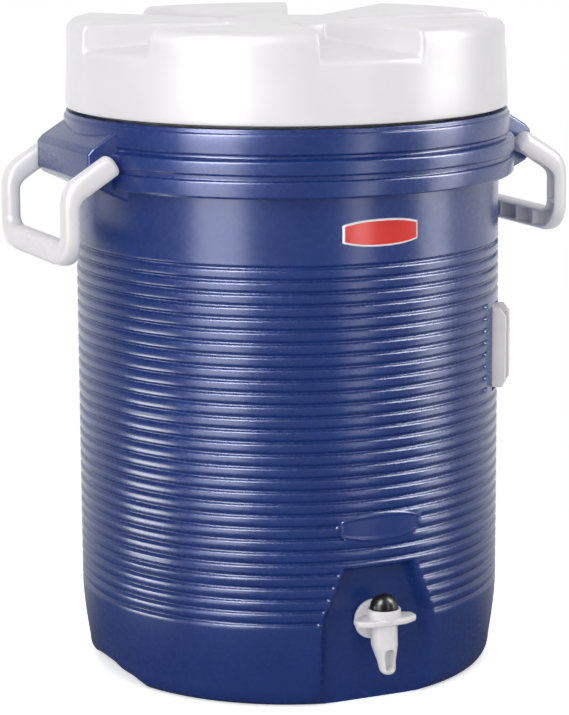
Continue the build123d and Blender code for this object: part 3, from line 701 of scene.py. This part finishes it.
def handleSection(column, a, b, hollow, ridge):
    # round the outside from one lip of the hollow to the other, then through the hollow
    opening = math.radians(48)
    around = 36
    if column < around:
        turn = opening + (2 * math.pi - 2 * opening) * column / (around - 1)
        outer = math.copysign(abs(math.cos(turn)) ** 0.8, -math.cos(turn))
        aside = math.copysign(abs(math.sin(turn)) ** 0.8, math.sin(turn))
        swell = ridge * ramp(-0.3, 0.3, outer)
        return (a + swell) * outer, (b + swell) * aside
    lipX = -a * abs(math.cos(opening)) ** 0.8
    lipY = b * abs(math.sin(opening)) ** 0.8 - min(1.3, b * 0.3)
    deep = min(hollow, a * 1.1)
    inside = [(-1, 0), (-1, 0.5), (-0.96, 0.9), (-0.75, 1), (0, 1), (0.75, 1), (0.96, 0.9), (1, 0.5), (1, 0)]
    share, down = inside[column - around]
    return lipX + deep * down, lipY * share


sectionPoints = 45


def makeHandle(side, name, body, node):
    rows = handleRows()

    def place(column, row):
        middle, outward, sideways, a, b, hollow, ridge = rows[row]
        out, aside = handleSection(column % sectionPoints, a, b, hollow, ridge)
        x, y, z = (m + out * o + aside * w for m, o, w in zip(middle, outward, sideways))
        return (side * x * mm, y * mm, z * mm)

    parts = [gridPiece(name, sectionPoints + 1, len(rows), place, turnOut=True)]
    for end in (-1, 1):
        deselectAll()
        bpy.ops.mesh.primitive_cylinder_add(
            vertices=40, radius=6.5 * mm, depth=9 * mm, rotation=(math.pi / 2, 0, 0),
            location=(side * handle["pivotX"] * mm, end * 53.5 * mm, handle["pivotZ"] * mm))
        hub = bpy.context.object
        placeInMesh(hub)
        parts.append(hub)
    finishPiece(joinPieces(name, parts), name, body, whitePolypropylene, [node])


makeHandle(-1, "handleLeft", "left_handle", "left_handle")
makeHandle(1, "handleRight", "right_handle", "right_handle")
print("handles done")


# the push-button tap, sizes in mm
tap = {
    "axisY": -158.5, "flangeZ": 59, "flangeRadius": 14.4, "wallY": -138, "tubeRadius": 9.5, "tubeTop": 60.6,
    "taperTop": 45, "tipZ": 25, "tipRadius": 5.4, "lean": 6.6, "cupRadius": 12.0, "cupTop": 71.4,
    "buttonRadius": 9.9, "buttonBase": 68.2, "buttonTop": 81.7, "wingSpan": 23.4, "wingThick": 4.6,
}
tapCentre = (0, tap["axisY"] * mm, 0)

# flange against the recess wall, with a short neck to the tube
deselectAll()
bpy.ops.mesh.primitive_cylinder_add(vertices=72, radius=tap["flangeRadius"] * mm, depth=3 * mm,
                                    location=(0, (tap["wallY"] - 2.7) * mm, tap["flangeZ"] * mm),
                                    rotation=(math.pi / 2, 0, 0))
flange = bpy.context.object
placeInMesh(flange)
bevelEdges(flange, 1.0 * mm, 4, 50)
deselectAll()
bpy.ops.mesh.primitive_cylinder_add(vertices=48, radius=6.3 * mm, depth=18 * mm,
                                    location=(0, (tap["wallY"] - 10) * mm, 54.2 * mm),
                                    rotation=(math.pi / 2, 0, 0))
neck = bpy.context.object
placeInMesh(neck)

# tube and spout
spoutProfile = roundedOutline([
    (0, tap["tipZ"], 0), (tap["tipRadius"], tap["tipZ"], 4.4), (6.6, 34, 8),
    (tap["tubeRadius"], tap["taperTop"], 6),
    (tap["tubeRadius"], tap["tubeTop"], 0.6), (0, tap["tubeTop"], 0),
], 6, closed=False)
spout = spunPiece("spout", [(r * mm, z * mm) for r, z in spoutProfile], 64, tapCentre)
for vertex in spout.data.vertices:
    down = min(1, max(0, (tap["taperTop"] + 3 - vertex.co.z / mm) / (tap["taperTop"] + 3 - tap["tipZ"])))
    vertex.co.y -= tap["lean"] * mm * down
mouthOutline = roundedOutline([(-3.2, 27.5, 3.1), (3.2, 27.5, 3.1), (4.2, 43.5, 3.8), (-4.2, 43.5, 3.8)], 8)
mouth = outlinePiece("mouth", mouthOutline, lambda u, v: (u * mm, -180 * mm, v * mm), (0, 19.5 * mm, 0))
cutWith(spout, mouth)
bevelEdges(spout, 0.5 * mm, 3, 50)
tapBody = joinPieces("tapBody", [spout, flange, neck])
finishPiece(tapBody, "tapBody", "cooler", whitePolypropylene, ["tap_body"])

# bonnet: a cup round the button, with two finger wings
cupProfile = roundedOutline([
    (2.6, 60.6, 0.2), (11.5, 60.6, 0.8), (tap["cupRadius"], 66, 3), (tap["cupRadius"], tap["cupTop"], 0.8),
    (10.25, tap["cupTop"], 0.6), (10.25, 62.6, 0.4), (2.6, 62.6, 0.2),
], 4)
cup = spunPiece("cup", [(r * mm, z * mm) for r, z in cupProfile], 72, tapCentre)
wings = []
for side in (-1, 1):
    wingOutline = roundedOutline([
        (0, -12, 0), (side * 13, -11.4, 6), (side * tap["wingSpan"], -6, 4.5),
        (side * (tap["wingSpan"] - 0.5), 2.5, 3.5), (side * 14, 8, 6), (0, 9.5, 0),
    ], 6)
    wing = outlinePiece("wing", wingOutline, lambda u, v: (u * mm, (tap["axisY"] + v) * mm, 60.8 * mm),
                        (0, 0, tap["wingThick"] * mm))
    bevelEdges(wing, 1.5 * mm, 4, 50)
    holeProfile = [(0, 50 * mm), (11 * mm, 50 * mm), (11 * mm, 80 * mm), (0, 80 * mm)]
    hole = spunPiece("hole", holeProfile, 48, tapCentre)
    cutWith(wing, hole)
    wings.append(wing)
tapBonnet = joinPieces("tapBonnet", [cup] + wings)
finishPiece(tapBonnet, "tapBonnet", "cooler", whitePolypropylene, ["tap_bonnet"])

# domed push button
domeProfile = [(8.8, tap["buttonBase"]), (tap["buttonRadius"] - 0.3, tap["buttonBase"]),
               (tap["buttonRadius"], tap["buttonBase"] + 0.3)]
domeZ = tap["buttonTop"] - tap["buttonRadius"]
for step in range(13):
    turn = math.pi / 2 * step / 12
    domeProfile.append((tap["buttonRadius"] * math.cos(turn), domeZ + tap["buttonRadius"] * math.sin(turn)))
domeProfile += [(0, 79), (8.2, 74.5)]
tapButton = spunPiece("tapButton", [(r * mm, z * mm) for r, z in domeProfile], 64, tapCentre)
finishPiece(tapButton, "tapButton", "tap_plunger", blackAcetal, ["tap_button"])
print("tap done")


def bracketPlace(level, out, z):
    angle = math.radians(bracket["angle"])
    distance = bracket["distance"] + out * mm
    return (distance * math.sin(angle) + level * mm * math.cos(angle),
            -distance * math.cos(angle) + level * mm * math.sin(angle), z * mm)


# the bracket for a cup dispenser: back, floor, two walls and two lips, sizes in mm
holder = {"half": 13.5, "reach": 14.0, "wall": 2.5, "lip": 5.0, "low": 208.5, "high": 267}
levelStep = tuple(a - b for a, b in zip(bracketPlace(1, 0, 0), bracketPlace(0, 0, 0)))


def along(distance):
    return tuple(step * distance for step in levelStep)


plates = []
wallOutline = roundedOutline([(0, holder["low"], 1), (holder["reach"] - 2.5, holder["low"], 2.5),
                              (holder["reach"], holder["low"] + 6, 3), (holder["reach"], holder["high"] - 6, 3),
                              (holder["reach"] - 4, holder["high"], 2.5), (0, holder["high"], 1)], 4)
for level in (-holder["half"], holder["half"] - holder["wall"]):
    plates.append(outlinePiece("wall", wallOutline, lambda u, v: bracketPlace(level, u, v),
                               along(holder["wall"])))
backOutline = [(0, holder["low"]), (2.4, holder["low"]), (2.4, holder["high"]), (0, holder["high"])]
plates.append(outlinePiece("back", backOutline, lambda u, v: bracketPlace(-holder["half"] + 1, u, v),
                           along(2 * holder["half"] - 2)))
lipOutline = [(holder["reach"] - 2.4, holder["low"] + 4), (holder["reach"], holder["low"] + 4),
              (holder["reach"], holder["high"] - 6), (holder["reach"] - 2.4, holder["high"] - 6)]
for level in (-holder["half"] + 0.5, holder["half"] - holder["lip"] - 0.5):
    plates.append(outlinePiece("lip", lipOutline, lambda u, v: bracketPlace(level, u, v),
                               along(holder["lip"])))
floorOutline = [(0, holder["low"]), (holder["reach"] - 2, holder["low"]),
                (holder["reach"] - 2, holder["low"] + 2), (0, holder["low"] + 2)]
plates.append(outlinePiece("floor", floorOutline, lambda u, v: bracketPlace(-holder["half"] + 1, u, v),
                           along(2 * holder["half"] - 2)))
for plate in plates:
    bevelEdges(plate, 0.6 * mm, 3, 50)
bracketPiece = joinPieces("cupBracket", plates)
finishPiece(bracketPiece, "cupBracket", "cooler", whitePolypropylene, ["cup_bracket"])
print("bracket done")


# finishes of the pieces that keep their own shape
nodeFinishes = {
    "inner_liner": linerPolyethylene, "lid_liner": linerPolyethylene, "insulation_foam": pouredFoam,
    "lid_foam": pouredFoam, "foam_plug": bluePolyethylene, "bracket_screws": stainlessSteel,
    "tap_stem": whitePolypropylene, "tap_seal": blackNitrile, "tap_spring": stainlessSteel,
    "tap_outer_washer": blackNitrile, "tap_inner_washer": blackNitrile, "tap_nut": whitePolypropylene,
    "lid_gasket": paleSilicone,
}
for nodeName, material in nodeFinishes.items():
    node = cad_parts[nodeName]
    if not node.material_slots:
        node.data.materials.append(material)
    for nodeSlot in node.material_slots:
        nodeSlot.link = "OBJECT"
        nodeSlot.material = material
print("finishes done")


# floor, light and camera; backHeading is where the white sweep stands, in degrees from the front
stage = {
    "backHeading": 155.2, "sweepSoft": 82, "sweepFull": 52, "frontLight": 0.05, "backLight": 1.0,
    "roomFill": 0.78, "paperNear": 0.5, "nearRadius": 0.2, "farRadius": 0.5, "backPaper": 1.3,
    "aimHeight": 0.25,
}
heading = math.radians(stage["backHeading"])
towardsBack = (math.sin(heading), -math.cos(heading), 0)
deselectAll()
bpy.ops.mesh.primitive_plane_add(size=60, location=(0, 0, -0.0002))
floor = bpy.context.object
floor.name = "floor"
placeInMesh(floor)
# white paper sweep: pure white to the eye, with a soft shadow at the foot, and a dim matte grey to the rest
floorMaterial, tree, shader = newMaterial("paperSweepWhite", "ffffff", 0.9, 1.45)
shader.inputs["Specular IOR Level"].default_value = 0.0
shader.inputs["Emission Color"].default_value = linearColour("ffffff")
shader.inputs["Emission Strength"].default_value = stage["paperNear"]
glow = addNode(tree, "ShaderNodeEmission", {"Strength": 1.0})
place = addNode(tree, "ShaderNodeTexCoord")
reach = addNode(tree, "ShaderNodeVectorMath", {"operation": "LENGTH"}, {0: place.outputs["Object"]})
fade = addNode(tree, "ShaderNodeMapRange", {"From Min": stage["nearRadius"], "From Max": stage["farRadius"]},
               {"Value": reach.outputs["Value"]})
paper = addNode(tree, "ShaderNodeMixShader", links={0: fade.outputs["Result"], 1: shader.outputs["BSDF"],
                                                    2: glow.outputs["Emission"]})
rays = addNode(tree, "ShaderNodeLightPath")
bounce = addNode(tree, "ShaderNodeMapRange", {"To Min": 0.75, "To Max": 0.22},
                 {"Value": rays.outputs["Is Glossy Ray"]})
dim = addNode(tree, "ShaderNodeBsdfDiffuse", links={"Color": bounce.outputs["Result"]})
behind = addNode(tree, "ShaderNodeVectorMath", {"operation": "DOT_PRODUCT", 1: towardsBack},
                 {0: place.outputs["Object"]})
backShare = addNode(tree, "ShaderNodeMapRange", {"From Min": 0.0, "From Max": 0.5},
                    {"Value": behind.outputs["Value"]})
backGlow = addNode(tree, "ShaderNodeEmission", {"Strength": stage["backPaper"]})
unseen = addNode(tree, "ShaderNodeMixShader", links={0: backShare.outputs["Result"], 1: dim.outputs["BSDF"],
                                                     2: backGlow.outputs["Emission"]})
mix = addNode(tree, "ShaderNodeMixShader", links={0: rays.outputs["Is Camera Ray"], 1: unseen.outputs["Shader"],
                                                  2: paper.outputs["Shader"]})
tree.links.new(mix.outputs["Shader"], tree.nodes["Material Output"].inputs["Surface"])
floor.data.materials.append(floorMaterial)

# the sweep stands behind the object, so the light from there is white, and the room in front is dim
world = bpy.data.worlds.new("studio")
world.use_nodes = True
bpy.context.scene.world = world
tree = world.node_tree
background = tree.nodes["Background"]
background.inputs["Color"].default_value = (1, 1, 1, 1)
place = addNode(tree, "ShaderNodeTexCoord")
facing = addNode(tree, "ShaderNodeVectorMath", {"operation": "DOT_PRODUCT", 1: towardsBack},
                 {0: place.outputs["Generated"]})
sweepRange = {"From Min": math.cos(math.radians(stage["sweepSoft"])),
              "From Max": math.cos(math.radians(stage["sweepFull"])),
              "To Min": stage["frontLight"], "To Max": stage["backLight"]}
sweep = addNode(tree, "ShaderNodeMapRange", sweepRange, {"Value": facing.outputs["Value"]})
rays = addNode(tree, "ShaderNodeLightPath")
even = addNode(tree, "ShaderNodeMapRange", {"To Max": stage["roomFill"]},
               {"Value": rays.outputs["Is Diffuse Ray"], "To Min": sweep.outputs["Result"]})
seen = addNode(tree, "ShaderNodeMapRange", {"To Max": 1.0},
               {"Value": rays.outputs["Is Camera Ray"], "To Min": even.outputs["Result"]})
tree.links.new(seen.outputs["Result"], background.inputs["Strength"])

# the fill gives colour without a reflection; the strips and the low card only show as reflections
lights = [
    {"name": "fillFront", "heading": -45, "distance": 2.2, "height": 0.9, "size": (1.8, 1.6), "watts": 15,
     "glossy": False, "aimed": True},
    {"name": "stripLeft", "heading": -57, "distance": 0.6, "height": 0.2, "size": (0.26, 0.4), "watts": 2.0,
     "diffuse": False},
    {"name": "stripLeftHigh", "heading": -57, "distance": 0.6, "height": 0.83, "size": (0.26, 0.8), "watts": 18,
     "diffuse": False},
    {"name": "stripRight", "heading": 51.5, "distance": 0.62, "height": 0.24, "size": (0.2, 0.48), "watts": 1.6,
     "diffuse": False},
    {"name": "stripRightHigh", "heading": 53, "distance": 0.62, "height": 0.85, "size": (0.24, 0.8),
     "watts": 15, "diffuse": False},
    {"name": "cardLowLeft", "heading": -95, "distance": 0.48, "height": 0.06, "size": (0.2, 0.12), "watts": 1.1,
     "diffuse": False},
    {"name": "stripFront", "heading": 9, "distance": 0.6, "height": 0.5, "size": (0.1, 0.9), "watts": 1.1,
     "diffuse": False},
    {"name": "topLight", "heading": -25, "distance": 0.3, "height": 2.1, "size": (1.4, 1.4), "watts": 3,
     "aimed": True},
]
for spec in lights:
    turn = math.radians(spec["heading"])
    place = (spec["distance"] * math.sin(turn), -spec["distance"] * math.cos(turn), spec["height"])
    pitch = math.pi / 2
    if spec.get("aimed"):
        pitch = math.atan2(math.hypot(place[0], place[1]), place[2] - stage["aimHeight"])
    deselectAll()
    bpy.ops.object.light_add(type="AREA", location=place, rotation=(pitch, 0, turn))
    lamp = bpy.context.object
    lamp.name = spec["name"]
    lamp.data.shape = "RECTANGLE"
    lamp.data.size, lamp.data.size_y = spec["size"]
    lamp.data.energy = spec["watts"]
    lamp.visible_camera = False
    lamp.visible_diffuse = spec.get("diffuse", True)
    lamp.visible_glossy = spec.get("glossy", True)

deselectAll()
camera = {"place": (-0.8510, -1.8418, 0.6173), "turn": (78.999, 0.305, -24.786), "lens": 140.1}
bpy.ops.object.camera_add(location=camera["place"], rotation=[math.radians(angle) for angle in camera["turn"]])
view = bpy.context.object
view.name = "camera"
view.data.lens = camera["lens"]
view.data.sensor_width = 36
view.data.sensor_fit = "AUTO"
bpy.context.scene.camera = view
bpy.context.scene.view_settings.view_transform = "Standard"
print("stage done")
